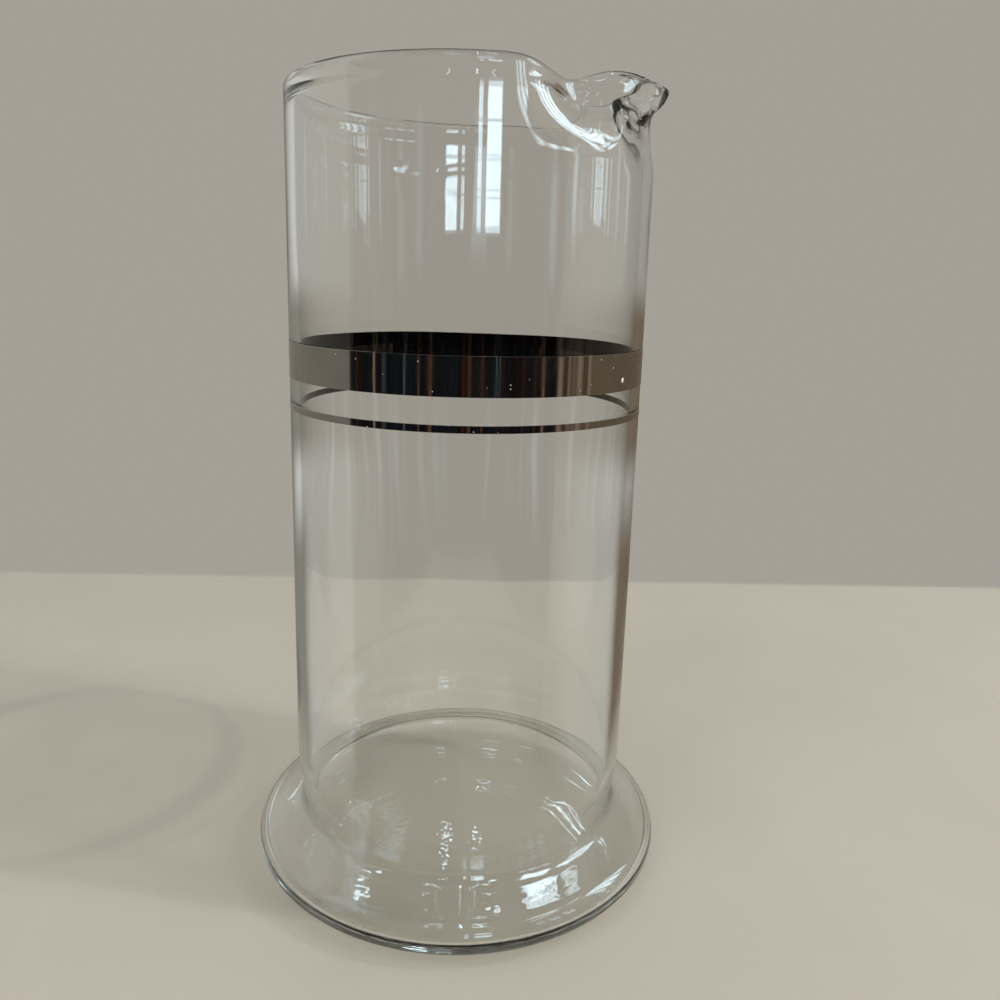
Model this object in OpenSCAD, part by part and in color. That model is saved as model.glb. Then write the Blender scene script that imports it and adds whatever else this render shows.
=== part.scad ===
// Glass cocktail pitcher: a straight blown body on a flared hollow foot, a pouring
// spout pinched out of the rim, and two bands of fired platinum on the outside.
// Millimetres. +Z is up, the origin is the centre of the base, and the spout faces +X.

/* [Body] */
// Outside diameter of the straight body
body_d = 101.6; // [94:0.2:108]
// Height from the table to the top of the rim
pitcher_h = 227.5; // [210:0.5:250]
// Thickness of the blown wall
wall_t = 2.6; // [2:0.1:3.2]

/* [Rim] */
// Height of the fire-polished bead
bead_h = 4; // [3:0.1:5]
// Thickness of the bead from outside to inside
bead_t = 3.4; // [3.3:0.1:4.4]
// Height over which the bead fades into the wall, from the bead's middle down
bead_fade = 5; // [3:0.5:8]

/* [Foot] */
// Diameter of the foot at its widest
foot_d = 126; // [120:0.5:136]
// Height of the foot's widest line above the table
foot_widest_z = 7.7; // [6.8:0.1:9]
// How far the rounded lower edge runs in under the foot
foot_undercut = 12; // [9:0.5:15]
// Radius of the shoulder over the widest line
foot_shoulder_r = 6; // [4.5:0.1:7]
// Slope of the foot's upper face, in degrees from the horizontal
foot_slope = 18; // [12:1:26]
// Radius of the hollow where the foot's upper face meets the body
foot_fillet_r = 4; // [3:0.1:5.5]
// Thickness of the glass at the base
base_t = 4; // [3:0.1:4.8]
// How far the body draws in just above the foot
waist_in = 1.6; // [0.4:0.1:2.6]
// Height over which that waist fades into the straight body
waist_h = 17; // [12:0.5:26]

/* [Spout] */
// Angle from the middle of the spout to the deepest line of each pinch
pinch_angle = 22.5; // [20:0.5:26]
// Angle over which a pinch fades into the round rim
pinch_outer_angle = 26.5; // [20:0.5:34]
// Angle over which a pinch fades towards the spout
pinch_inner_angle = 16.5; // [12:0.5:19]
// How far each pinch pushes the rim in
pinch_depth = 8.5; // [5:0.1:11]
// How far the rim sinks at each pinch
pinch_dip = 2.2; // [0.5:0.1:3.5]
// How far below the rim the pinches reach
pinch_drop = 21; // [18:0.5:34]
// Half of the angle that the pouring lip takes up
lip_angle = 13; // [10:0.5:18]
// How far the lip stands out past the body
lip_out = 6.3; // [4:0.1:8.5]
// How far below the rim the lip reaches
lip_drop = 14; // [10:0.5:18]
// How far the throat under the lip is drawn in
throat_in = 2; // [0.5:0.1:3]
// Depth of the middle of the throat below the rim
throat_down = 10; // [8:0.5:11.5]
// Half of the throat's height
throat_half_h = 6; // [4:0.5:6.5]
// Rise of the rim beside the lip
arch_rise = 1.8; // [0.5:0.1:3]
// Half of the angle that this rise takes up
arch_angle = 27; // [20:0.5:32]
// How far the tip of the lip droops
tip_droop = 4.2; // [2:0.1:5.5]
// Half of the angle that the droop takes up
tip_angle = 14; // [10:0.5:18]

/* [Bands] */
// Height of the lower edge of the wide band above the table
wide_band_z = 149.9; // [120:0.5:170]
// Height of the wide band
wide_band_h = 9.9; // [6:0.1:14]
// Clear glass between the two bands
band_gap = 6.85; // [3:0.05:10]
// Height of the narrow band
narrow_band_h = 1.85; // [1:0.05:4]
// Thickness of the fired metal, far thicker here than the real film
film_t = 0.1; // [0.05:0.05:0.3]
// Clearance between the glass and the metal
film_gap = 0.05; // [0.02:0.01:0.1]

/* [Hidden] */
$fn = 96;

body_r = body_d / 2;
foot_r = foot_d / 2;
neck_r = body_r - waist_in;
// Steepness of the foot's upper face, in degrees from the vertical
slope_turn = 90 - foot_slope;
rim_base_z = pitcher_h - pinch_drop;
spout_half_angle = pinch_angle + pinch_outer_angle;
// The rim zone is thinner than the body's wall by this much on each face, and reaches down into it
seam_inset = 0.12;
seam_reach = wall_t / 2;
narrow_band_z = wide_band_z - band_gap - narrow_band_h;

// Numbers of steps along each curve
edge_steps = 12;
shoulder_steps = 8;
fillet_steps = 8;
waist_steps = 12;
bead_steps = 10;
bead_under_steps = 4;
wall_steps = 10;
spout_steps = 52;
round_steps = 44;

glass_tint = [0.86, 0.9, 0.88, 0.45];
platinum_tint = [0.62, 0.6, 0.58];

// A smooth hump: 1 at 0, falling to 0 at 1 either way
function hump(x) = abs(x) < 1 ? (1 + cos(180 * x)) / 2 : 0;

// A smooth fall from 1 at 0 to 0 at 1
function fade(x) = x > 0 ? hump(x) : 1;

// Points along an ellipse's quarter or less, from angle a to angle b
function arc(centre, rx, rz, a, b, steps) = [
    for (i = [0 : steps])
        let (t = a + (b - a) * i / steps)
        centre + [rx * cos(t), rz * sin(t)]
];

// The glass from the floor's edge up to the straight body, drawn inset from the outside
function foot_line(inset, floor_z) =
    let (
        shoulder_r = foot_shoulder_r - inset,
        fillet_r = foot_fillet_r + inset,
        inner_neck_r = neck_r - inset,
        widest_r = foot_r - inset,
        edge_x = foot_r - foot_undercut,
        shoulder_x = foot_r - foot_shoulder_r,
        shoulder_end = [shoulder_x + shoulder_r * cos(slope_turn), foot_widest_z + shoulder_r * sin(slope_turn)],
        face_run = shoulder_end[0] - inner_neck_r - fillet_r * (1 - cos(slope_turn)),
        fillet_z = shoulder_end[1] + face_run / tan(slope_turn) + fillet_r * sin(slope_turn)
    )
    concat(
        arc([edge_x, foot_widest_z], widest_r - edge_x, foot_widest_z - floor_z, -90, 0, edge_steps),
        arc([shoulder_x, foot_widest_z], shoulder_r, shoulder_r, slope_turn / shoulder_steps, slope_turn,
            shoulder_steps - 1),
        arc([inner_neck_r + fillet_r, fillet_z], fillet_r, fillet_r, 180 + slope_turn, 180, fillet_steps),
        [for (i = [1 : waist_steps])
            let (t = i / waist_steps)
            [inner_neck_r + waist_in * (1 - hump(t)), fillet_z + waist_h * t]]
    );

function reversed(points) = [for (i = [len(points) - 1 : -1 : 0]) points[i]];

// The rim zone's outline, from its foot on the outside, over the bead and down the inside.
// It can be drawn inset from the glass, and with its foot lower down.
bead_mid_z = pitcher_h - bead_h / 2;
function rim_line(inset, low_z) =
    let (outer_r = body_r - inset, inner_r = body_r - wall_t + inset, under_r = bead_t - wall_t)
    concat(
        [for (i = [0 : wall_steps - 1])
            [outer_r, low_z + (bead_mid_z - low_z) * i / wall_steps]],
        arc([body_r - bead_t / 2, bead_mid_z], bead_t / 2 - inset, bead_h / 2 - inset, 0, 180, bead_steps),
        [for (i = [1 : bead_under_steps])
            let (t = i / bead_under_steps)
            [inner_r - under_r * hump(t), bead_mid_z - bead_fade * t]],
        [for (i = [wall_steps - 1 : -1 : 0])
            [inner_r, low_z + (bead_mid_z - bead_fade - low_z) * i / wall_steps]]
    );

// Where the glassblower's pinch moves a point of the section, at an angle from the spout
function pinched(point, angle) =
    let (
        depth = pitcher_h - point[1],
        off = abs(angle),
        pinch_reach = off > pinch_angle ? pinch_outer_angle : pinch_inner_angle,
        pinch = hump((off - pinch_angle) / pinch_reach) * fade(depth / pinch_drop),
        lip = fade(depth / lip_drop),
        throat = hump(off / lip_angle) * hump((depth - throat_down) / throat_half_h),
        r = point[0] - pinch_depth * pinch + lip_out * lip * hump(off / lip_angle) - throat_in * throat,
        rise = arch_rise * hump(off / arch_angle) - tip_droop * hump(off / tip_angle)
    )
    [r * cos(angle), r * sin(angle), point[1] - pinch_dip * pinch + rise * lip];

module body_and_foot() {
    outside = foot_line(0, 0);
    inside = foot_line(wall_t, base_t);
    wall_top = [[body_r, rim_base_z], [body_r - wall_t, rim_base_z]];
    rotate_extrude()
        polygon(concat([[0, 0]], outside, wall_top, reversed(inside), [[0, base_t]]));
}

module pinched_rim() {
    section = rim_line(seam_inset, rim_base_z - seam_reach);
    ring = len(section);
    round_angle = 360 - 2 * spout_half_angle;
    angles = concat(
        [for (i = [0 : spout_steps - 1]) -spout_half_angle + 2 * spout_half_angle * i / spout_steps],
        [for (i = [0 : round_steps - 1]) spout_half_angle + round_angle * i / round_steps]
    );
    points = [for (angle = angles, p = section) pinched(p, angle)];
    columns = len(angles);
    sides = [
        for (i = [0 : columns - 1], j = [0 : ring - 1])
            let (
                a = i * ring + j,
                b = i * ring + (j + 1) % ring,
                c = (i + 1) % columns * ring + (j + 1) % ring,
                d = (i + 1) % columns * ring + j
            )
            each [[a, b, c], [a, c, d]]
    ];
    polyhedron(points, sides, convexity = 6);
}

module glass_vessel() {
    color(glass_tint)
        union() {
            body_and_foot();
            pinched_rim();
        }
}

module platinum_ring(low_z, height) {
    color(platinum_tint)
        rotate_extrude()
            translate([body_r + film_gap, low_z])
                square([film_t, height]);
}

module wide_band() {
    platinum_ring(wide_band_z, wide_band_h);
}

module narrow_band() {
    platinum_ring(narrow_band_z, narrow_band_h);
}

glass_vessel();
wide_band();
narrow_band();
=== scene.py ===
"""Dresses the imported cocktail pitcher: a clear blown vessel and two fired platinum bands, in a pale studio.

Everything is in metres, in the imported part's own frame: +Z is up, the origin is the centre of the base,
and the spout faces +X.
"""

import logging
import math
from dataclasses import dataclass
from enum import Enum
from typing import Any, Union

import bmesh
import bpy
from mathutils import Matrix, Vector


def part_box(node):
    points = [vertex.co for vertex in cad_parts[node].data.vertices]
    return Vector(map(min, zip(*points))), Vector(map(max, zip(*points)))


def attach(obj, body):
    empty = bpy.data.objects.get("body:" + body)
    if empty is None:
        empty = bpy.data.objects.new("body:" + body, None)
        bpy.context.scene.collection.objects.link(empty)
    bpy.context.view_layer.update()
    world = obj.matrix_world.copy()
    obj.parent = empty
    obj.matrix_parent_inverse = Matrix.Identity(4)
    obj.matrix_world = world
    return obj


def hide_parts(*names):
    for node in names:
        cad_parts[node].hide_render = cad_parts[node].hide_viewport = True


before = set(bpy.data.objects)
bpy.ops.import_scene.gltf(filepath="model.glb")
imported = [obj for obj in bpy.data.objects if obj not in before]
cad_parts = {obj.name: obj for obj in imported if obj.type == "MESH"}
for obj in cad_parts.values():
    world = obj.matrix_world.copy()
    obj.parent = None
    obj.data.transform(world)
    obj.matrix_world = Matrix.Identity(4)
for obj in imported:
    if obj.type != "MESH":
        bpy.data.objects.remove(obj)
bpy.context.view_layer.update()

log = logging.getLogger("cocktail_pitcher")

Colour = tuple[float, float, float]
Place = tuple[float, float, float]
Point = tuple[float, float]
Line = list[Point]
Value = Union["Signal", float]

MM = 0.001
BODY = "root"
WELD_DISTANCE = 1e-6
CREASE_ANGLE = math.radians(30)
NOISE_ROUGHNESS = 0.55
# Where a Mix node has its colours, under names that its other sockets have too
MIX_SHARE, MIX_LOW, MIX_HIGH, MIXED = 0, 6, 7, 2


def hump(x: float) -> float:
    """A smooth hump: 1 at 0, falling to 0 at 1 either way."""
    return (1 + math.cos(math.pi * x)) / 2 if abs(x) < 1 else 0.0


def fade(x: float) -> float:
    """A smooth fall from 1 at 0 and below to 0 at 1."""
    return hump(x) if x > 0 else 1.0


def arc(centre: Point, radii: Point, start: float, end: float, steps: int) -> Line:
    """Points along a part of an ellipse.

    Args:
        centre: The ellipse's centre, as distance from the axis and height.
        radii: Its half width and half height.
        start: Angle of the first point, in degrees.
        end: Angle of the last point, in degrees.
        steps: How many steps there are between them.

    Returns:
        The points, with both ends.
    """
    angles = (math.radians(start + (end - start) * i / steps) for i in range(steps + 1))
    return [(centre[0] + radii[0] * math.cos(a), centre[1] + radii[1] * math.sin(a)) for a in angles]


def straight(start: Point, end: Point, steps: int) -> Line:
    """Points along a straight line.

    Args:
        start: The line's first point, which is left out.
        end: Its last point, which is left out too.
        steps: How many steps the line has.

    Returns:
        The points between the two.
    """
    shares = (i / steps for i in range(1, steps))
    return [(start[0] + (end[0] - start[0]) * t, start[1] + (end[1] - start[1]) * t) for t in shares]


class Signal:
    """A number on its way through a node tree, whose operators add Math nodes."""

    def __init__(self, tree: "NodeTree", socket: bpy.types.NodeSocket) -> None:
        """Wraps one output socket of a tree."""
        self.tree = tree
        self.socket = socket

    def math(self, operation: str, *values: Value) -> "Signal":
        """Adds one Math node.

        Args:
            operation: The Math node's operation.
            values: What goes into its sockets, in order.

        Returns:
            The node's result.
        """
        node = self.tree.add("ShaderNodeMath", {"operation": operation}, dict(enumerate(values)))
        return Signal(self.tree, node.outputs[0])

    def __add__(self, other: Value) -> "Signal":
        """Adds a value."""
        return self.math("ADD", self, other)

    def __radd__(self, other: Value) -> "Signal":
        """Adds this to a value."""
        return self.math("ADD", other, self)

    def __sub__(self, other: Value) -> "Signal":
        """Takes a value off."""
        return self.math("SUBTRACT", self, other)

    def __rsub__(self, other: Value) -> "Signal":
        """Takes this off a value."""
        return self.math("SUBTRACT", other, self)

    def __mul__(self, other: Value) -> "Signal":
        """Multiplies by a value."""
        return self.math("MULTIPLY", self, other)

    def __rmul__(self, other: Value) -> "Signal":
        """Multiplies a value by this."""
        return self.math("MULTIPLY", other, self)

    def __pow__(self, other: Value) -> "Signal":
        """Raises this to a power."""
        return self.math("POWER", self, other)

    def __abs__(self) -> "Signal":
        """The size of this, without its sign."""
        return self.math("ABSOLUTE", self)

    def most(self, other: Value) -> "Signal":
        """The greater of this and a value."""
        return self.math("MAXIMUM", self, other)

    def rise(self, low: float, high: float) -> "Signal":
        """A smooth step.

        Args:
            low: Where the step starts, at 0.
            high: Where it ends, at 1. A high below the low makes a falling step.

        Returns:
            The step's height.
        """
        falling = high < low
        ends = {"From Min": min(low, high), "From Max": max(low, high)}
        settings = {"interpolation_type": "SMOOTHSTEP"}
        node = self.tree.add("ShaderNodeMapRange", settings, {"Value": self, **ends})
        step = Signal(self.tree, node.outputs["Result"])
        return 1 - step if falling else step

    def within(self, centre: float, half: float, soft: float) -> "Signal":
        """A bar: 1 within half of a centre, with soft edges.

        Args:
            centre: The middle of the bar.
            half: Half of its width.
            soft: How wide each edge is.

        Returns:
            The bar's mask.
        """
        return abs(self - centre).rise(half + soft / 2, half - soft / 2)

    def at_level(self, level: "Level") -> "Signal":
        """A bar at a level of the room."""
        return self.within(level.middle, level.half, level.soft)


class NodeTree:
    """A material's or the world's nodes, with one method that adds any of them."""

    def __init__(self, tree: bpy.types.NodeTree) -> None:
        """Clears a node tree and takes it over."""
        self.tree = tree
        self.tree.nodes.clear()

    def add(self, kind: str, settings: dict[str, Any], inputs: dict[Union[int, str], Any]) -> bpy.types.Node:
        """Adds a node, with its settings first and its sockets after.

        Args:
            kind: The node's type.
            settings: Its properties. A ramp's stops are a list of places and colours under "stops".
            inputs: What goes into its sockets, by name or index: a Signal, an output socket or a plain value.

        Returns:
            The node.
        """
        node = self.tree.nodes.new(kind)
        for name, value in settings.items():
            if name == "stops":
                self._set_stops(node.color_ramp.elements, value)
            else:
                setattr(node, name, value)
        for name, value in inputs.items():
            if isinstance(value, Signal):
                self.tree.links.new(value.socket, node.inputs[name])
            elif isinstance(value, bpy.types.NodeSocket):
                self.tree.links.new(value, node.inputs[name])
            elif isinstance(value, tuple) and node.inputs[name].type == "RGBA":
                node.inputs[name].default_value = (*value, 1.0)
            else:
                node.inputs[name].default_value = value
        return node

    @staticmethod
    def _set_stops(elements: bpy.types.ColorRampElements, stops: list[tuple[float, Colour]]) -> None:
        """Gives a colour ramp its stops, from left to right."""
        while len(elements) > 1:
            elements.remove(elements[-1])
        for index, (place, colour) in enumerate(stops):
            element = elements[0] if index == 0 else elements.new(place)
            element.position = place
            element.color = (*colour, 1.0)

    def signal(
        self, kind: str, settings: dict[str, Any], inputs: dict[Union[int, str], Any], output: Union[int, str]
    ) -> Signal:
        """Adds a node and wraps one of its outputs.

        Args:
            kind: The node's type.
            settings: Its properties.
            inputs: What goes into its sockets.
            output: The name or the index of the output.

        Returns:
            The output, as a Signal.
        """
        return Signal(self, self.add(kind, settings, inputs).outputs[output])

    def light_path(self, question: str) -> Signal:
        """What the Light Path node says of the ray, such as "Is Shadow Ray"."""
        return self.signal("ShaderNodeLightPath", {}, {}, question)

    def mirrored_ray(self) -> Signal:
        """1 for a ray that a mirror or the glass turned back, 0 for one that went straight through."""
        return self.light_path("Is Glossy Ray") * self.light_path("Glossy Depth").rise(0.0, 1.0)

    def noise(self, place: Any, scale: float, detail: float, dimensions: str = "3D") -> Signal:
        """A Noise Texture's value.

        Args:
            place: Where it is read: a vector socket, or a Signal for one dimension.
            scale: How fine it is, in features a metre, or a degree for one dimension.
            detail: How many finer layers it has.
            dimensions: "3D" or "1D".

        Returns:
            Its value, about a half on average.
        """
        where = "W" if dimensions == "1D" else "Vector"
        inputs = {where: place, "Scale": scale, "Detail": detail, "Roughness": NOISE_ROUGHNESS}
        return self.signal("ShaderNodeTexNoise", {"noise_dimensions": dimensions}, inputs, 0)

    def patches(self, place: Any, pattern: "Patches", dimensions: str = "3D") -> Signal:
        """A Noise Texture's value, brought out to patches of 0 and 1 with soft edges.

        Args:
            place: Where it is read: a vector socket, or a Signal for one dimension.
            pattern: How fine it is, and where its patches start.
            dimensions: "3D" or "1D".

        Returns:
            The patches' mask.
        """
        return self.noise(place, pattern.scale, pattern.detail, dimensions).rise(pattern.low, pattern.high)

    def blend(self, low: Any, high: Any, share: Value) -> bpy.types.NodeSocket:
        """Mixes two colours.

        Args:
            low: The colour at a share of 0.
            high: The colour at a share of 1.
            share: How much of the second shows.

        Returns:
            The mixed colour's socket.
        """
        settings = {"data_type": "RGBA", "clamp_factor": True}
        inputs = {MIX_SHARE: share, MIX_LOW: low, MIX_HIGH: high}
        return self.add("ShaderNodeMix", settings, inputs).outputs[MIXED]

    def mix_shaders(self, first: Any, second: Any, share: Value) -> bpy.types.NodeSocket:
        """Mixes two shaders, with the second showing at a share of 1."""
        return self.add("ShaderNodeMixShader", {}, {0: share, 1: first, 2: second}).outputs[0]

    def here(self) -> bpy.types.NodeSocket:
        """The place on the object, in metres in the part's frame."""
        return self.add("ShaderNodeTexCoord", {}, {}).outputs["Object"]


@dataclass(frozen=True)
class Patches:
    """Soft-edged patches out of noise, whose edges rise between a low and a high value of it.

    The scale is in features a metre, or a degree for one dimension.
    """

    scale: float
    detail: float
    low: float
    high: float


def new_material(name: str) -> tuple[bpy.types.Material, NodeTree]:
    """Makes an empty material and takes over its nodes."""
    material = bpy.data.materials.new(name)
    material.use_nodes = True
    return material, NodeTree(material.node_tree)


@dataclass(frozen=True)
class ClearGlass:
    """Clear soda-lime glass, faintly grey-green through its thickness, with painted shade that darkens it
    nearly to black where it turns edge-on.
    """

    face_tint: Colour = (0.995, 0.997, 0.99)
    # Painted shade: the near-black colour that the glass takes where it turns edge-on to the view, drawing
    # its dark outlines.
    painted_edge_shade: Colour = (0.03, 0.034, 0.028)
    edge_shade_power: float = 4.0
    refraction: float = 1.5
    depth_tint: Colour = (0.70, 0.78, 0.66)
    depth_density: float = 3.5
    lit_share: Colour = (0.99, 0.99, 0.985)
    shaded_share: Colour = (0.40, 0.42, 0.40)
    shade_power: float = 4.2
    wall_shade: float = 0.17
    wall_from: float = 6.0 * MM

    def material(self) -> bpy.types.Material:
        """Makes the glass. Lamps shine straight through it, less where it stands edge-on to them."""
        material, nodes = new_material("clear_glass")
        facing = nodes.signal("ShaderNodeLayerWeight", {}, {"Blend": 0.5}, "Facing")
        # Painted shade: the glass's own faint tint darkens towards the painted edge shade where the glass
        # turns edge-on.
        tint_with_edge_shade = nodes.blend(self.face_tint, self.painted_edge_shade, facing**self.edge_shade_power)
        glass = nodes.add(
            "ShaderNodeBsdfPrincipled",
            {},
            {"Base Color": tint_with_edge_shade, "Transmission Weight": 1.0, "Roughness": 0.0, "IOR": self.refraction},
        ).outputs[0]
        clear = nodes.add("ShaderNodeBsdfTransparent", {}, {"Color": self.lit_share}).outputs[0]
        dim = nodes.add("ShaderNodeBsdfTransparent", {}, {"Color": self.shaded_share}).outputs[0]
        height = nodes.signal("ShaderNodeSeparateXYZ", {}, {0: nodes.here()}, "Z")
        shade = height.rise(self.wall_from - MM, self.wall_from) * self.wall_shade
        passing = nodes.mix_shaders(clear, dim, shade.most(facing**self.shade_power))
        surface = nodes.mix_shaders(glass, passing, nodes.light_path("Is Shadow Ray"))
        depth = {"Color": self.depth_tint, "Density": self.depth_density}
        volume = nodes.add("ShaderNodeVolumeAbsorption", {}, depth).outputs[0]
        nodes.add("ShaderNodeOutputMaterial", {}, {"Surface": surface, "Volume": volume})
        return material


@dataclass(frozen=True)
class Specks:
    """Small worn spots in a film, of one size: their cells' scale, their reach and the share of cells."""

    scale: float
    reach: float
    share: float


@dataclass(frozen=True)
class FiredPlatinum:
    """A bright dark-silver film, fired onto the glass, with worn specks and one chip.

    A speck is full up to speck_core of its reach, and a cell up to speck_sure of the share has a full speck.
    The chip's edge runs between two multiples of its radius.
    """

    metal: Colour = (0.50, 0.48, 0.445)
    dulled: Colour = (0.44, 0.42, 0.39)
    worn: Colour = (0.86, 0.85, 0.82)
    roughness: float = 0.035
    dull_roughness: float = 0.10
    worn_roughness: float = 0.45
    clouds: Patches = Patches(55.0, 3.0, 0.42, 0.66)
    ripple_scale: float = 130.0
    ripple_detail: float = 2.0
    ripple_strength: float = 0.05
    ripple_height: float = 0.2 * MM
    specks: tuple[Specks, ...] = (Specks(900.0, 0.16, 0.10), Specks(420.0, 0.10, 0.08))
    speck_core: float = 0.5
    speck_sure: float = 0.9
    chip: Place = (0.0, 0.0, 0.0)
    chip_radius: float = 0.7 * MM
    chip_ragged_scale: float = 2500.0
    chip_ragged_detail: float = 1.0
    chip_edge: tuple[float, float] = (1.6, 1.3)

    def material(self) -> bpy.types.Material:
        """Makes the film's outer face."""
        material, nodes = new_material("fired_platinum")
        here = nodes.here()
        cloud = nodes.patches(here, self.clouds)
        worn = self._chip(nodes, here)
        for specks in self.specks:
            worn = worn.most(self._specks(nodes, here, specks))
        film = nodes.blend(self.metal, self.dulled, cloud)
        height = nodes.noise(here, self.ripple_scale, self.ripple_detail)
        ripple = nodes.add(
            "ShaderNodeBump",
            {},
            {"Strength": self.ripple_strength, "Distance": self.ripple_height, "Height": height},
        ).outputs[0]
        rough = cloud * (self.dull_roughness - self.roughness) + self.roughness
        surface = nodes.add(
            "ShaderNodeBsdfPrincipled",
            {},
            {
                "Base Color": nodes.blend(film, self.worn, worn),
                "Metallic": 1 - worn,
                "Roughness": rough.most(worn * self.worn_roughness),
                "Normal": ripple,
            },
        ).outputs[0]
        nodes.add("ShaderNodeOutputMaterial", {}, {"Surface": surface})
        return material

    def _chip(self, nodes: NodeTree, here: bpy.types.NodeSocket) -> Signal:
        """The mask of the chip. One at the origin is too far from the film to show."""
        ends = {0: here, 1: self.chip}
        away = nodes.signal("ShaderNodeVectorMath", {"operation": "DISTANCE"}, ends, "Value")
        ragged = away + nodes.noise(here, self.chip_ragged_scale, self.chip_ragged_detail) * self.chip_radius
        outside, inside = self.chip_edge
        return ragged.rise(self.chip_radius * outside, self.chip_radius * inside)

    def _specks(self, nodes: NodeTree, here: bpy.types.NodeSocket, specks: Specks) -> Signal:
        """The mask of one size of specks, which lie in some cells of a Voronoi pattern."""
        cells = nodes.add("ShaderNodeTexVoronoi", {}, {"Vector": here, "Scale": specks.scale})
        picked = nodes.signal("ShaderNodeSeparateColor", {}, {0: cells.outputs["Color"]}, "Red")
        spot = Signal(nodes, cells.outputs["Distance"]).rise(specks.reach, specks.reach * self.speck_core)
        return spot * picked.rise(specks.share, specks.share * self.speck_sure)


@dataclass(frozen=True)
class FilmBack:
    """The platinum film as seen through the glass that it was fired onto: a dark, dim mirror."""

    metal: Colour = (0.013, 0.012, 0.010)
    dim_share: float = 0.6
    roughness: float = 0.12
    clouds: Patches = Patches(40.0, 2.0, 0.3, 0.7)

    def material(self) -> bpy.types.Material:
        """Makes the film's inner face."""
        material, nodes = new_material("fired_platinum_back")
        shade = nodes.patches(nodes.here(), self.clouds)
        colour = nodes.blend(self.metal, tuple(self.dim_share * c for c in self.metal), shade)
        settings = {"Base Color": colour, "Metallic": 1.0, "Roughness": self.roughness}
        surface = nodes.add("ShaderNodeBsdfPrincipled", {}, settings).outputs[0]
        nodes.add("ShaderNodeOutputMaterial", {}, {"Surface": surface})
        return material


def finished_piece(name: str, mesh: bmesh.types.BMesh, node: str) -> bpy.types.Object:
    """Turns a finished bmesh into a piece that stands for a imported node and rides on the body.

    Args:
        name: The piece's name.
        mesh: Its shape, in place. It is freed.
        node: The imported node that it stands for.

    Returns:
        The piece.
    """
    data = bpy.data.meshes.new(name)
    mesh.to_mesh(data)
    mesh.free()
    piece = bpy.data.objects.new(name, data)
    bpy.context.scene.collection.objects.link(piece)
    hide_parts(node)
    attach(piece, BODY)
    return piece


def spun(outline: Line, closed: bool, steps: int) -> bmesh.types.BMesh:
    """Spins an outline all the way round the axis.

    Args:
        outline: Its points, as distance from the axis and height.
        closed: Whether the last point joins the first. An open outline starts and ends on the axis.
        steps: How many steps there are round the axis.

    Returns:
        The closed shape, with its normals outwards.
    """
    mesh = bmesh.new()
    points = [mesh.verts.new((r, 0, z)) for r, z in outline]
    edges = [mesh.edges.new(pair) for pair in zip(points, points[1:])]
    if closed:
        edges.append(mesh.edges.new((points[-1], points[0])))
    bmesh.ops.spin(
        mesh,
        geom=points + edges,
        cent=(0, 0, 0),
        axis=(0, 0, 1),
        angle=2 * math.pi,
        steps=steps,
        use_merge=True,
        use_duplicate=False,
    )
    bmesh.ops.remove_doubles(mesh, verts=mesh.verts[:], dist=WELD_DISTANCE)
    bmesh.ops.recalc_face_normals(mesh, faces=mesh.faces[:])
    for face in mesh.faces:
        face.smooth = True
    return mesh


@dataclass(frozen=True)
class Wave:
    """One of the waves whose sum makes a surface uneven: its size, its turns each way and its start."""

    size: float
    along: float
    across: float
    start: float = 0.0

    def at(self, x: float, y: float) -> float:
        """The wave's height at a place."""
        return self.size * math.sin(self.along * x + self.across * y + self.start)


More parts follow.
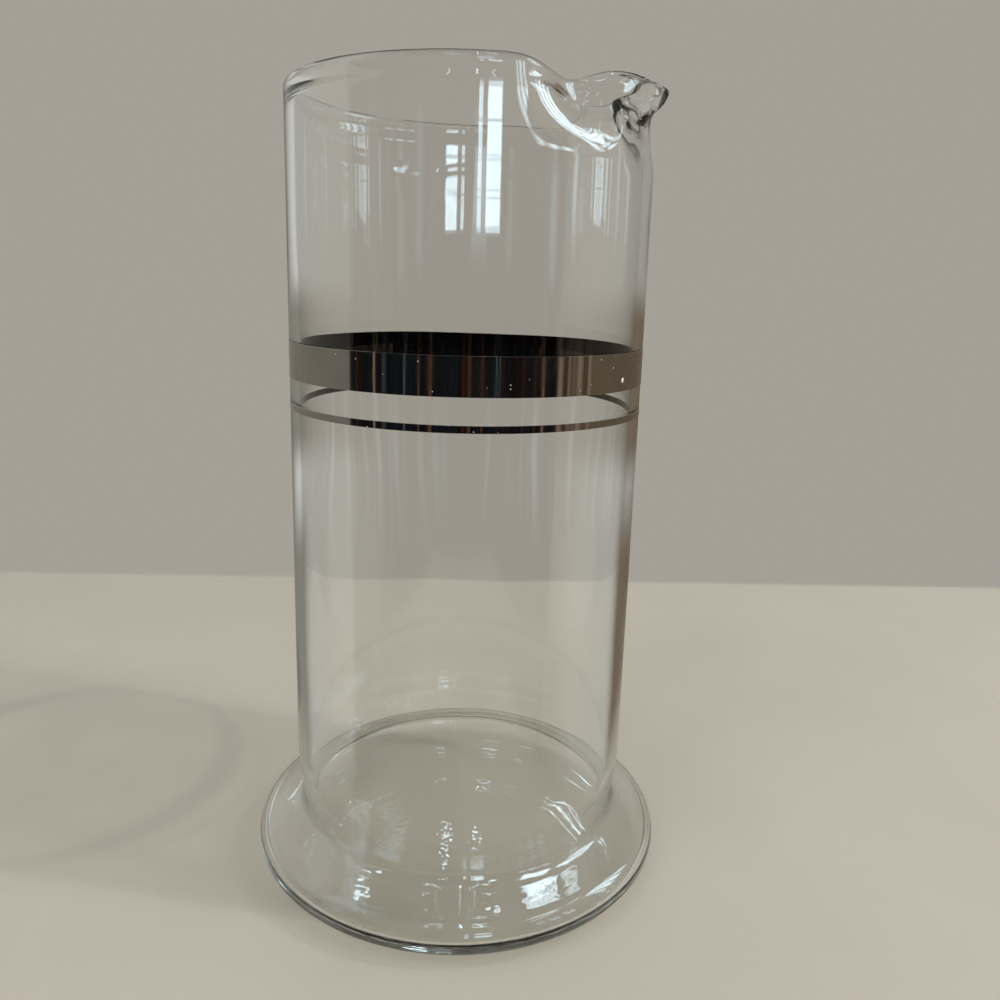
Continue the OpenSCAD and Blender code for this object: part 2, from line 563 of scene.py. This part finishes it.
@dataclass
class GlassVessel:
    """The blown vessel: a straight body on a flared hollow foot, with a spout pinched out of its rim.

    Lengths are in metres and angles in degrees. Steps count the rows along each stretch of its outline.
    """

    body_r: float
    foot_r: float
    height: float = 227.5 * MM
    wall: float = 2.6 * MM
    bead_h: float = 4.0 * MM
    bead_t: float = 3.4 * MM
    bead_fade: float = 5.0 * MM
    bead_inset: float = 0.12 * MM
    foot_widest_z: float = 7.7 * MM
    foot_undercut: float = 12.0 * MM
    foot_shoulder_r: float = 6.0 * MM
    foot_slope: float = 18.0
    foot_fillet_r: float = 4.0 * MM
    base: float = 4.0 * MM
    waist_in: float = 1.6 * MM
    waist_h: float = 17.0 * MM
    pinch_angle: float = 22.5
    pinch_outer_angle: float = 26.5
    pinch_inner_angle: float = 16.5
    pinch_depth: float = 8.5 * MM
    pinch_dip: float = 2.2 * MM
    pinch_drop: float = 21.0 * MM
    lip_angle: float = 13.0
    lip_out: float = 6.3 * MM
    lip_drop: float = 14.0 * MM
    throat_in: float = 2.0 * MM
    throat_down: float = 10.0 * MM
    throat_half_h: float = 6.0 * MM
    arch_rise: float = 1.8 * MM
    arch_angle: float = 27.0
    tip_droop: float = 4.2 * MM
    tip_angle: float = 14.0
    outer_waver: float = 0.03 * MM
    inner_waver: float = 0.07 * MM
    wall_waves: tuple[Wave, ...] = (
        Wave(1.0, 3.0, 9.0),
        Wave(0.6, 5.0, -14.0, 1.0),
        Wave(0.5, 8.0, 21.0, 2.0),
        Wave(0.5, 2.0, 31.0),
    )
    floor_edge_share: float = 0.85
    floor_band: float = 0.5 * MM
    floor_waver: float = 0.003 * MM
    floor_ripple: float = 3.4 * MM
    floor_bends: tuple[Wave, Wave] = (Wave(2.0, 0.0, 0.37), Wave(2.0, 0.41, 0.0, 1.0))
    floor_stretch: float = 1.13
    floor_slant: Wave = Wave(0.6, 0.8, 0.8, 2.0)
    finish: ClearGlass = ClearGlass()
    steps_round: int = 288
    edge_steps: int = 20
    shoulder_steps: int = 14
    slope_steps: int = 4
    fillet_steps: int = 14
    waist_steps: int = 16
    body_steps: int = 24
    rim_outer_steps: int = 22
    bead_steps: int = 18
    bead_under_steps: int = 12
    rim_inner_steps: int = 20
    underside_steps: int = 4
    floor_steps: int = 72

    def foot_line(self, inset: float, floor_z: float) -> Line:
        """The glass from the floor's edge up to the straight body.

        Args:
            inset: How far the line lies inside the outer face.
            floor_z: Height of the floor that it starts from.

        Returns:
            The outline's points.
        """
        turn = 90 - self.foot_slope
        shoulder_r = self.foot_shoulder_r - inset
        fillet_r = self.foot_fillet_r + inset
        neck_r = self.body_r - self.waist_in - inset
        edge_x = self.foot_r - self.foot_undercut
        shoulder_x = self.foot_r - self.foot_shoulder_r
        cos_turn, sin_turn = math.cos(math.radians(turn)), math.sin(math.radians(turn))
        shoulder_end = (shoulder_x + shoulder_r * cos_turn, self.foot_widest_z + shoulder_r * sin_turn)
        face_run = shoulder_end[0] - neck_r - fillet_r * (1 - cos_turn)
        fillet_z = shoulder_end[1] + face_run * cos_turn / sin_turn + fillet_r * sin_turn
        widest = (self.foot_r - inset - edge_x, self.foot_widest_z - floor_z)
        line = arc((edge_x, self.foot_widest_z), widest, -90, 0, self.edge_steps)
        shoulder = (shoulder_x, self.foot_widest_z)
        line += arc(shoulder, (shoulder_r, shoulder_r), 0, turn, self.shoulder_steps)[1:]
        fillet = arc((neck_r + fillet_r, fillet_z), (fillet_r, fillet_r), 180 + turn, 180, self.fillet_steps)
        line += straight(line[-1], fillet[0], self.slope_steps) + fillet
        for i in range(1, self.waist_steps + 1):
            share = i / self.waist_steps
            line.append((neck_r + self.waist_in * (1 - hump(share)), fillet_z + self.waist_h * share))
        return line

    def rim_line(self, low_z: float) -> Line:
        """The rim zone, up the outside, over the bead and down the inside.

        Args:
            low_z: Height of the zone's foot.

        Returns:
            The outline's points.
        """
        inner_r = self.body_r - self.wall
        under_r = self.bead_t - self.wall
        bead_z = self.height - self.bead_h / 2
        bead_x = self.body_r - self.bead_t / 2
        bead = (self.bead_t / 2, self.bead_h / 2 - self.bead_inset)
        outer_foot, inner_foot = (self.body_r, low_z), (inner_r, low_z)
        line = [outer_foot, *straight(outer_foot, (self.body_r, bead_z), self.rim_outer_steps)]
        line += arc((bead_x, bead_z), bead, 0, 180, self.bead_steps)
        for i in range(1, self.bead_under_steps + 1):
            share = i / self.bead_under_steps
            line.append((inner_r - under_r * hump(share), bead_z - self.bead_fade * share))
        return line + straight(line[-1], inner_foot, self.rim_inner_steps) + [inner_foot]

    def outline(self) -> Line:
        """The whole section, from the axis under the base, round the glass, to the axis over the base."""
        outside = self.foot_line(0.0, 0.0)
        inside = self.foot_line(self.wall, self.base)
        rim = self.rim_line(self.height - self.pinch_drop)
        underside = [(0.0, 0.0), *straight((0.0, 0.0), outside[0], self.underside_steps)]
        floor = [*straight(inside[0], (0.0, self.base), self.floor_steps), (0.0, self.base)]
        up = straight(outside[-1], rim[0], self.body_steps)
        down = straight(rim[-1], inside[-1], self.body_steps)
        return underside + outside + up + rim + down + inside[::-1] + floor

    def pinch(self, place: Vector) -> Vector:
        """Where the glassblower's pinch moves a point of the rim zone.

        Args:
            place: A point on the round glass.

        Returns:
            The point on the pinched glass.
        """
        angle = math.atan2(place.y, place.x)
        off = abs(math.degrees(angle))
        r = math.hypot(place.x, place.y)
        depth = self.height - place.z
        reach = self.pinch_outer_angle if off > self.pinch_angle else self.pinch_inner_angle
        pinch = hump((off - self.pinch_angle) / reach) * fade(depth / self.pinch_drop)
        lip = fade(depth / self.lip_drop)
        throat = hump(off / self.lip_angle) * hump((depth - self.throat_down) / self.throat_half_h)
        r += self.lip_out * lip * hump(off / self.lip_angle)
        r -= self.pinch_depth * pinch + self.throat_in * throat
        rise = self.arch_rise * hump(off / self.arch_angle) - self.tip_droop * hump(off / self.tip_angle)
        z = place.z - self.pinch_dip * pinch + rise * lip
        return Vector((r * math.cos(angle), r * math.sin(angle), z))

    def dimpled(self, place: Vector) -> Vector:
        """The shallow dimples that the tools left in the floor.

        Args:
            place: A point on the even glass.

        Returns:
            The point on the dimpled glass.
        """
        share = math.hypot(place.x, place.y) / (self.foot_r - self.foot_undercut)
        if share > 1 or abs(place.z - self.base) > self.floor_band:
            return place
        turn = 2 * math.pi / self.floor_ripple
        x, y = turn * place.x, turn * place.y
        bend_x, bend_y = (bend.at(x, y) for bend in self.floor_bends)
        wave = math.sin(x + bend_x) + math.sin(self.floor_stretch * y + bend_y) + self.floor_slant.at(x, y)
        edge = (share - self.floor_edge_share) / (1 - self.floor_edge_share)
        return place + Vector((0, 0, self.floor_waver * wave * fade(edge)))

    def waver(self, place: Vector) -> Vector:
        """The slight unevenness of blown glass, on the straight body alone.

        Args:
            place: A point on the even glass.

        Returns:
            The point on the uneven glass.
        """
        low, high = self.foot_widest_z + self.waist_h, self.height - self.bead_h
        share = (place.z - low) / (high - low)
        r = math.hypot(place.x, place.y)
        if not 0 < share < 1 or r > self.body_r + self.wall / 2:
            return place
        angle = math.atan2(place.y, place.x)
        inner = r < self.body_r - self.wall / 2
        waver = self.inner_waver if inner else -self.outer_waver
        wave = sum(wave.at(angle, share) for wave in self.wall_waves)
        wave /= sum(wave.size for wave in self.wall_waves)
        grown = 1 + waver * math.sqrt(hump(2 * share - 1)) * wave / r
        return Vector((place.x * grown, place.y * grown, place.z))

    def build(self) -> bpy.types.Object:
        """Spins, pinches and dresses the vessel.

        Returns:
            The vessel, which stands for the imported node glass_vessel.
        """
        mesh = spun(self.outline(), False, self.steps_round)
        for vert in mesh.verts:
            vert.co = self.pinch(self.waver(self.dimpled(vert.co)))
        vessel = finished_piece("blown_vessel", mesh, "glass_vessel")
        vessel.data.materials.append(self.finish.material())
        vessel.cycles.is_caustics_caster = True
        return vessel


class BandFace(Enum):
    """The faces of a platinum band, as the places of their finishes."""

    OUTSIDE = 0
    BACK = 1


@dataclass
class PlatinumBand:
    """A ring of fired platinum film round the body, whose back lies just inside the glass.

    Faces that look up or down by more than smooth_below stay flat.
    """

    node: str
    body_r: float
    low_z: float
    high_z: float
    film: FiredPlatinum
    back: FilmBack = FilmBack()
    stands_out: float = 0.1 * MM
    sinks_in: float = 0.15 * MM
    edge_soft: float = 0.03 * MM
    smooth_below: float = 0.5
    steps_round: int = 384

    def build(self) -> bpy.types.Object:
        """Spins and dresses the ring.

        Returns:
            The ring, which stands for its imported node.
        """
        inner_r, outer_r = self.body_r - self.sinks_in, self.body_r + self.stands_out
        soft = self.edge_soft
        outline = [
            (inner_r, self.low_z),
            (outer_r - soft, self.low_z),
            (outer_r, self.low_z + soft),
            (outer_r, self.high_z - soft),
            (outer_r - soft, self.high_z),
            (inner_r, self.high_z),
        ]
        mesh = spun(outline, True, self.steps_round)
        for face in mesh.faces:
            middle = face.calc_center_median()
            on_back = math.hypot(middle.x, middle.y) < inner_r + soft
            face.material_index = (BandFace.BACK if on_back else BandFace.OUTSIDE).value
            face.smooth = abs(face.normal.z) < self.smooth_below
        for edge in mesh.edges:
            edge.smooth = edge.calc_face_angle(0.0) < CREASE_ANGLE
        ring = finished_piece(f"{self.node}_film", mesh, self.node)
        ring.data.materials.append(self.film.material())
        ring.data.materials.append(self.back.material())
        return ring


@dataclass(frozen=True)
class Window:
    """A window or lamp in the room round the pitcher, as the glass and the metal mirror it.

    Angles are in degrees: the azimuth counts from the photograph's side to its right, and low and high from
    the horizon up.
    """

    azimuth: float
    half_width: float
    low: float
    high: float
    glow: float
    soft: float = 0.5
    panes: int = 0


@dataclass(frozen=True)
class Level:
    """A level stretch of the room: its middle, half of its height and how wide its soft edges are."""

    middle: float
    half: float
    soft: float


@dataclass(frozen=True)
class PaleRoom:
    """The plain pale surroundings, and what mirrors see of the room on the photograph's side.

    Angles are in degrees, counted as a window's are.
    """

    wall: Colour = (0.376, 0.352, 0.305)
    mirrored_left: Colour = (0.25, 0.238, 0.20)
    mirrored_right: Colour = (0.17, 0.135, 0.095)
    bright_sides: Colour = (0.60, 0.60, 0.56)
    bright_to: float = 128.0
    bright_under: float = -4.0
    far_left_to: float = 152.0
    far_right_share: float = 0.45
    far_over: float = -18.0
    bright_soft: float = 6.0
    eye_level: float = -6.0
    eye_band: float = 3.5
    soft_light: Colour = (0.43, 0.42, 0.405)
    dark: Colour = (0.004, 0.004, 0.005)
    slate: Colour = (0.012, 0.015, 0.019)
    brown: Colour = (0.055, 0.018, 0.010)
    tan: Colour = (0.26, 0.20, 0.14)
    rose: Colour = (0.34, 0.25, 0.19)
    umber: Colour = (0.07, 0.045, 0.03)
    room_places: tuple[float, ...] = (0.0, 0.33, 0.40, 0.50, 0.57, 0.62, 0.68)
    room_scale: float = 0.16
    room_detail: float = 3.0
    room_lean: float = 0.02
    rose_patches: Patches = Patches(0.13, 2.0, 0.40, 0.62)
    dark_from: float = -75.5
    dark_to: float = 59.0
    streaky_to: float = 86.0
    edge_soft: float = 1.5
    ceiling_from: float = 52.0
    ceiling_to: float = 60.0
    ceiling: Colour = (0.05, 0.05, 0.048)
    far_ceiling_from: float = 26.0
    far_ceiling_to: float = 38.0
    far_ceiling: Colour = (0.22, 0.21, 0.19)
    pane: Colour = (0.66, 0.87, 1.0)
    bar_shade: float = 0.7
    bar_edge: tuple[float, float] = (0.44, 0.48)
    glints: float = 0.22
    glint_patches: Patches = Patches(0.55, 2.0, 0.60, 0.72)
    glint_level: Level = Level(6.0, 3.0, 5.0)
    streaks: float = 0.11
    streak_patches: Patches = Patches(0.8, 2.0, 0.48, 0.74)
    streak_level: Level = Level(-11.0, 3.0, 8.0)
    windows: tuple[Window, ...] = (
        Window(13.6, 4.2, 3.0, 11.8, 11.0, 0.4, 4),
        Window(5.4, 1.2, 3.0, 11.8, 7.0, 0.4, 4),
        Window(80.0, 0.7, 4.0, 10.0, 3.0, 0.4),
        Window(84.0, 1.6, 3.5, 10.5, 4.0, 0.4, 3),
        Window(88.5, 1.0, 4.0, 10.0, 2.6, 0.4),
        Window(92.5, 0.6, 3.0, 9.5, 2.0, 0.4),
        Window(52.0, 2.0, 0.0, 8.0, 0.8, 2.0),
        Window(-30.0, 2.0, 1.0, 10.0, 0.5, 2.0),
        Window(-64.0, 1.0, 2.0, 9.0, 1.0, 0.6),
        Window(86.0, 2.0, 19.0, 42.0, 6.0, 0.8, 5),
        Window(93.0, 2.8, 20.0, 45.0, 9.0, 0.8, 5),
        Window(100.5, 2.4, 22.0, 46.0, 9.0, 0.8, 5),
        Window(108.0, 2.6, 24.0, 44.0, 6.0, 0.8, 5),
        Window(44.0, 2.4, 12.8, 17.0, 6.0, 0.6, 2),
        Window(52.0, 3.0, 12.8, 17.5, 8.0, 0.6, 2),
        Window(61.0, 3.0, 13.0, 18.0, 7.0, 0.6, 2),
        Window(-51.5, 1.3, -14.0, 2.0, 0.05, 0.3),
        Window(-38.0, 0.6, -14.0, 2.0, 0.10, 0.2),
        Window(18.2, 0.25, -9.0, -2.0, 0.20, 0.1, 4),
        Window(20.2, 0.3, -9.0, -2.5, 0.14, 0.1, 4),
        Window(172.3, 1.5, 36.5, 38.6, 10.0, 0.3, 3),
        Window(169.2, 0.9, 35.9, 36.9, 7.0, 0.3, 2),
        Window(-173.8, 1.3, 33.9, 35.0, 0.9, 0.4, 2),
        Window(-171.2, 0.3, 37.2, 37.7, 24.0, 0.1),
        Window(-172.8, 0.2, 36.1, 36.6, 24.0, 0.1),
        Window(-177.2, 0.2, 38.5, 38.8, 24.0, 0.1),
        Window(-178.9, 0.2, 35.2, 35.5, 20.0, 0.1),
        Window(178.3, 0.5, 35.6, 36.0, 22.0, 0.1),
        Window(177.2, 0.3, 38.6, 38.9, 24.0, 0.1),
        Window(176.8, 0.2, 36.7, 37.1, 24.0, 0.1),
        Window(-20.0, 0.5, 52.0, 72.0, 18.0, 0.3),
        Window(4.0, 0.7, 54.0, 70.0, 20.0, 0.3),
        Window(18.0, 0.5, 50.0, 74.0, 20.0, 0.3),
    )

    def build(self, photo_azimuth: float) -> bpy.types.World:
        """Makes the world's light and what it looks like.

        Args:
            photo_azimuth: The photograph's side of the pitcher, in degrees round +Z.

        Returns:
            The world.
        """
        world = bpy.data.worlds.new("pale_room")
        world.use_nodes = True
        nodes = NodeTree(world.node_tree)
        azimuth, height = self._direction(nodes, photo_azimuth)
        mirrored = self._mirrored(nodes, azimuth, height)
        refracted = self._refracted(nodes, azimuth, height)
        colour = nodes.blend(self.soft_light, refracted, nodes.light_path("Is Transmission Ray"))
        colour = nodes.blend(colour, mirrored, nodes.mirrored_ray())
        colour = nodes.blend(colour, self.soft_light, nodes.light_path("Diffuse Depth").rise(0.0, 1.0))
        colour = nodes.blend(colour, self.wall, nodes.light_path("Is Camera Ray"))
        background = nodes.add("ShaderNodeBackground", {}, {"Color": colour, "Strength": 1.0}).outputs[0]
        nodes.add("ShaderNodeOutputWorld", {}, {"Surface": background})
        bpy.context.scene.world = world
        return world

    @staticmethod
    def _direction(nodes: NodeTree, photo_azimuth: float) -> tuple[Signal, Signal]:
        """Azimuth from the photograph's side and height over the horizon of a direction, both in degrees."""
        direction = nodes.add("ShaderNodeTexCoord", {}, {}).outputs["Generated"]
        parts = nodes.add("ShaderNodeSeparateXYZ", {}, {0: direction})
        x, y, z = (Signal(nodes, parts.outputs[i]) for i in range(3))
        cos_side, sin_side = math.cos(math.radians(photo_azimuth)), math.sin(math.radians(photo_azimuth))
        ahead = x * cos_side + y * sin_side
        right = y * cos_side - x * sin_side
        degrees = 180 / math.pi
        return x.math("ARCTAN2", right, ahead) * degrees, x.math("ARCSINE", z) * degrees

    def _windows(self, nodes: NodeTree, azimuth: Signal, height: Signal) -> Signal:
        """How brightly the windows and the small glints between them glow in a direction."""
        glints = nodes.patches(azimuth, self.glint_patches, "1D") * height.at_level(self.glint_level)
        total = glints * self.glints
        for window in self.windows:
            level = Level((window.low + window.high) / 2, (window.high - window.low) / 2, window.soft)
            glow = azimuth.within(window.azimuth, window.half_width, window.soft) * window.glow
            glow = glow * height.at_level(level)
            if window.panes:
                bars = (height - window.low) * (window.panes / (window.high - window.low))
                glow = glow * (1 - self.bar_shade * abs(bars.math("FRACT", bars) - 0.5).rise(*self.bar_edge))
            total = total + glow
        return total

    def _mirrored(self, nodes: NodeTree, azimuth: Signal, height: Signal) -> bpy.types.NodeSocket:
        """What metal and glass mirror: pale walls, a streaky dark room before the pitcher, and windows."""
        streaks = nodes.noise(azimuth + height * self.room_lean, self.room_scale, self.room_detail, "1D")
        colours = (self.tan, self.brown, self.dark, self.slate, self.dark, self.brown, self.tan)
        stops = list(zip(self.room_places, colours))
        room = nodes.add("ShaderNodeValToRGB", {"stops": stops}, {0: streaks}).outputs[0]
        streaky = nodes.blend(self.umber, self.rose, nodes.patches(azimuth, self.rose_patches, "1D"))
        soft = self.edge_soft
        past_streaks = azimuth.rise(self.streaky_to - soft, self.streaky_to)
        past_dark = azimuth.rise(self.dark_to - soft, self.dark_to)
        on_left = azimuth.rise(self.dark_from, self.dark_from - soft)
        right = nodes.blend(streaky, self.mirrored_right, past_streaks)
        surroundings = nodes.blend(room, right, past_dark)
        surroundings = nodes.blend(surroundings, self.mirrored_left, on_left)
        overhead = height.rise(self.ceiling_from, self.ceiling_to)
        surroundings = nodes.blend(surroundings, self.bright_sides, self._bright_sides(azimuth, height))
        surroundings = nodes.blend(surroundings, self.ceiling, overhead)
        return self._lit(nodes, surroundings, self._windows(nodes, azimuth, height))

    def _bright_sides(self, azimuth: Signal, height: Signal) -> Signal:
        """The mask of the pale side walls.

        On the left they reach further back higher up. On the right only their lower part is fully bright.
        Neither shows in a band at eye level.
        """
        soft = self.bright_soft
        near = abs(azimuth).rise(self.bright_to + soft, self.bright_to - soft)
        high_up = height.rise(self.far_over, self.far_over + soft)
        far_left = abs(azimuth).rise(self.far_left_to + soft, self.far_left_to - soft) * high_up
        low_right = near * height.rise(self.bright_under + soft, self.bright_under)
        left = azimuth.rise(self.dark_from, self.dark_from - self.edge_soft) * near.most(far_left)
        right = azimuth.rise(self.dark_to, self.streaky_to) * low_right.most(high_up * self.far_right_share)
        return left.most(right) * abs(height - self.eye_level).rise(self.eye_band, self.eye_band + soft / 2)

    def _refracted(self, nodes: NodeTree, azimuth: Signal, height: Signal) -> bpy.types.NodeSocket:
        """What shows through the glass: pale walls with faint streaks, a dim ceiling, and the windows."""
        ceiling = height.rise(self.far_ceiling_from, self.far_ceiling_to)
        surroundings = nodes.blend(self.wall, self.far_ceiling, ceiling)
        streaks = nodes.patches(azimuth, self.streak_patches, "1D") * height.at_level(self.streak_level)
        glow = self._windows(nodes, azimuth, height) + streaks * self.streaks
        return self._lit(nodes, surroundings, glow)

    def _lit(self, nodes: NodeTree, surroundings: bpy.types.NodeSocket, glow: Signal) -> bpy.types.NodeSocket:
        """Adds the windows' glow to a colour."""
        panes = nodes.add("ShaderNodeVectorMath", {"operation": "SCALE"}, {0: self.pane, "Scale": glow})
        sockets = {0: surroundings, 1: panes.outputs[0]}
        return nodes.add("ShaderNodeVectorMath", {"operation": "ADD"}, sockets).outputs[0]


@dataclass(frozen=True)
class PaleTable:
    """The plain warm-white table, which ends in a straight edge behind the pitcher.

    Metal and glass mirror it near the pitcher alone: further off, before and beside, it fades from them.
    """

    colour: Colour = (0.50, 0.475, 0.41)
    mottle: Patches = Patches(14.0, 4.0, 0.35, 0.65)
    mottle_share: float = 0.97
    roughness: float = 0.6
    behind: float = 0.256
    before: float = 0.50
    half_width: float = 1.4
    edge_soft: float = 0.008
    mirrored_before: tuple[float, float] = (0.14, 0.24)
    mirrored_beside: tuple[float, float] = (0.07, 0.12)
    gap_under: float = 0.25 * MM

    def build(self, photo_azimuth: float) -> bpy.types.Object:
        """Makes the table's top.

        Args:
            photo_azimuth: The photograph's side of the pitcher, in degrees round +Z.

        Returns:
            The table, which is stage.
        """
        mesh = bmesh.new()
        place = Matrix.Rotation(math.radians(photo_azimuth), 4, "Z")
        place @= Matrix.Translation(((self.before - self.behind) / 2, 0, -self.gap_under))
        place @= Matrix.Diagonal(((self.before + self.behind) / 2, self.half_width, 1, 1))
        bmesh.ops.create_grid(mesh, x_segments=1, y_segments=1, size=1, matrix=place)
        data = bpy.data.meshes.new("table_top")
        mesh.to_mesh(data)
        mesh.free()
        table = bpy.data.objects.new("table_top", data)
        bpy.context.scene.collection.objects.link(table)
        data.materials.append(self._material(photo_azimuth))
        table.cycles.is_caustics_receiver = True
        return table

    def _material(self, photo_azimuth: float) -> bpy.types.Material:
        """Makes the table's material, which fades out over the last few millimetres behind the pitcher."""
        material, nodes = new_material("pale_table")
        here = nodes.here()
        side = math.radians(photo_azimuth)
        forward = (math.cos(side), math.sin(side), 0.0)
        across = (-math.sin(side), math.cos(side), 0.0)
        dot = {"operation": "DOT_PRODUCT"}
        ahead = nodes.signal("ShaderNodeVectorMath", dot, {0: here, 1: forward}, "Value")
        beside = abs(nodes.signal("ShaderNodeVectorMath", dot, {0: here, 1: across}, "Value"))
        dimmer = tuple(self.mottle_share * c for c in self.colour)
        colour = nodes.blend(self.colour, dimmer, nodes.patches(here, self.mottle))
        principled = {"Base Color": colour, "Roughness": self.roughness}
        top = nodes.add("ShaderNodeBsdfPrincipled", {}, principled).outputs[0]
        open_air = nodes.add("ShaderNodeBsdfTransparent", {}, {}).outputs[0]
        unseen = ahead.rise(self.edge_soft - self.behind, -self.behind)
        out_of_mirrors = ahead.rise(*self.mirrored_before).most(beside.rise(*self.mirrored_beside))
        unseen = unseen.most(nodes.mirrored_ray() * out_of_mirrors)
        surface = nodes.mix_shaders(top, open_air, unseen)
        nodes.add("ShaderNodeOutputMaterial", {}, {"Surface": surface})
        return material


@dataclass(frozen=True)
class SoftLamp:
    """A soft rectangular lamp that points at the pitcher.

    Its angles are counted as a window's are. One narrower than focused_below throws focused light too.
    """

    name: str
    azimuth: float
    height: float
    distance: float
    width: float
    length: float
    power: float
    colour: Colour = (1.0, 0.98, 0.94)
    focused_below: float = 0.1

    def build(self, photo_azimuth: float, target: Vector) -> bpy.types.Object:
        """Hangs the lamp.

        Args:
            photo_azimuth: The photograph's side of the pitcher, in degrees round +Z.
            target: The point that it faces.

        Returns:
            The lamp.
        """
        light = bpy.data.lights.new(self.name, "AREA")
        light.shape = "RECTANGLE"
        light.size = self.width
        light.size_y = self.length
        light.energy = self.power
        light.color = self.colour
        light.cycles.is_caustics_light = self.width < self.focused_below
        lamp = bpy.data.objects.new(self.name, light)
        azimuth, height = math.radians(photo_azimuth + self.azimuth), math.radians(self.height)
        flat = math.cos(height)
        outwards = Vector((flat * math.cos(azimuth), flat * math.sin(azimuth), math.sin(height)))
        lamp.location = target + outwards * self.distance
        lamp.rotation_euler = outwards.to_track_quat("Z", "Y").to_euler()
        lamp.visible_camera = False
        lamp.visible_transmission = False
        lamp.visible_glossy = False
        bpy.context.scene.collection.objects.link(lamp)
        return lamp


@dataclass(frozen=True)
class PhotoCamera:
    """The photograph's own viewpoint, worked out from the outlines of the rim, the bands and the foot.

    Angles are in degrees.
    """

    photo_width: int = 1000
    focal_pixels: float = 883.46
    centre_x_pixel: float = 495.1
    centre_y_pixel: float = 479.94
    distance: float = 0.26131
    height: float = 0.17695
    pitch: float = -12.582
    yaw: float = 2.045
    roll: float = 1.585
    spout_azimuth: float = -32.3
    sensor: float = 36.0
    nearest: float = 0.01

    @property
    def side(self) -> float:
        """The photograph's side of the pitcher, in degrees round +Z."""
        return -90 - self.spout_azimuth

    def build(self) -> bpy.types.Object:
        """Sets up the camera.

        Returns:
            The camera, which is the scene's own.
        """
        data = bpy.data.cameras.new("photo_camera")
        data.sensor_width = self.sensor
        data.lens = self.focal_pixels * self.sensor / self.photo_width
        data.shift_x = 0.5 - self.centre_x_pixel / self.photo_width
        data.shift_y = self.centre_y_pixel / self.photo_width - 0.5
        data.clip_start = self.nearest
        camera = bpy.data.objects.new("photo_camera", data)
        turn = Matrix.Rotation(math.radians(-self.spout_azimuth), 4, "Z")
        turn @= Matrix.Translation((0, -self.distance, self.height))
        turn @= Matrix.Rotation(math.radians(-self.yaw), 4, "Z")
        turn @= Matrix.Rotation(math.radians(90 + self.pitch), 4, "X")
        turn @= Matrix.Rotation(math.radians(self.roll), 4, "Z")
        camera.matrix_world = turn
        bpy.context.scene.collection.objects.link(camera)
        bpy.context.scene.camera = camera
        return camera


@dataclass
class Pitcher:
    """The cocktail pitcher as a whole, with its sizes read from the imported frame."""

    film_t: float = 0.1 * MM
    film_gap: float = 0.05 * MM
    chip_azimuth: float = -4.0
    chip_share: float = 0.3

    def build(self) -> list[bpy.types.Object]:
        """Builds the vessel and its bands.

        Returns:
            The pieces.
        """
        body_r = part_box("wide_band")[1].x - self.film_t - self.film_gap
        foot_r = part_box("glass_vessel")[1].x
        pieces = [GlassVessel(body_r=body_r, foot_r=foot_r).build()]
        for node in ("wide_band", "narrow_band"):
            low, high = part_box(node)
            chip_z = low.z + self.chip_share * (high.z - low.z)
            chip_side = math.radians(self.chip_azimuth)
            chip = (body_r * math.cos(chip_side), body_r * math.sin(chip_side), chip_z)
            film = FiredPlatinum(chip=chip) if node == "wide_band" else FiredPlatinum()
            band = PlatinumBand(node=node, body_r=body_r, low_z=low.z, high_z=high.z, film=film)
            pieces.append(band.build())
        return pieces


@dataclass(frozen=True)
class Studio:
    """The table, the room, the lamps and how the light is traced."""

    table: PaleTable = PaleTable()
    room: PaleRoom = PaleRoom()
    lamps: tuple[SoftLamp, ...] = (
        SoftLamp("window_right", 74.0, 42.0, 2.6, 0.5, 0.6, 32.0),
        SoftLamp("window_front", -40.0, 50.0, 1.4, 0.5, 0.5, 5.5),
        SoftLamp("ceiling_spot", 75.0, 48.0, 1.4, 0.03, 0.03, 3.5),
    )
    target_z: float = 0.08
    glass_bounces: int = 24
    mirror_bounces: int = 12
    diffuse_bounces: int = 4

    def build(self, photo_azimuth: float) -> None:
        """Sets up the studio.

        Args:
            photo_azimuth: The photograph's side of the pitcher, in degrees round +Z.
        """
        scene = bpy.context.scene
        scene.view_settings.view_transform = "Standard"
        scene.cycles.max_bounces = self.glass_bounces
        scene.cycles.transmission_bounces = self.glass_bounces
        scene.cycles.transparent_max_bounces = self.glass_bounces
        scene.cycles.glossy_bounces = self.mirror_bounces
        scene.cycles.diffuse_bounces = self.diffuse_bounces
        scene.cycles.caustics_reflective = False
        self.table.build(photo_azimuth)
        self.room.build(photo_azimuth)
        for lamp in self.lamps:
            lamp.build(photo_azimuth, Vector((0, 0, self.target_z)))
            log.info("lamp %s", lamp.name)


def main() -> None:
    """Sets up the camera, builds the pitcher and the studio, and reports each piece."""
    logging.basicConfig(level=logging.INFO, format="%(name)s: %(message)s")
    camera = PhotoCamera()
    camera.build()
    for piece in Pitcher().build():
        log.info("piece %s: %d faces", piece.name, len(piece.data.polygons))
    Studio().build(camera.side)


if __name__ == "__main__":
    main()
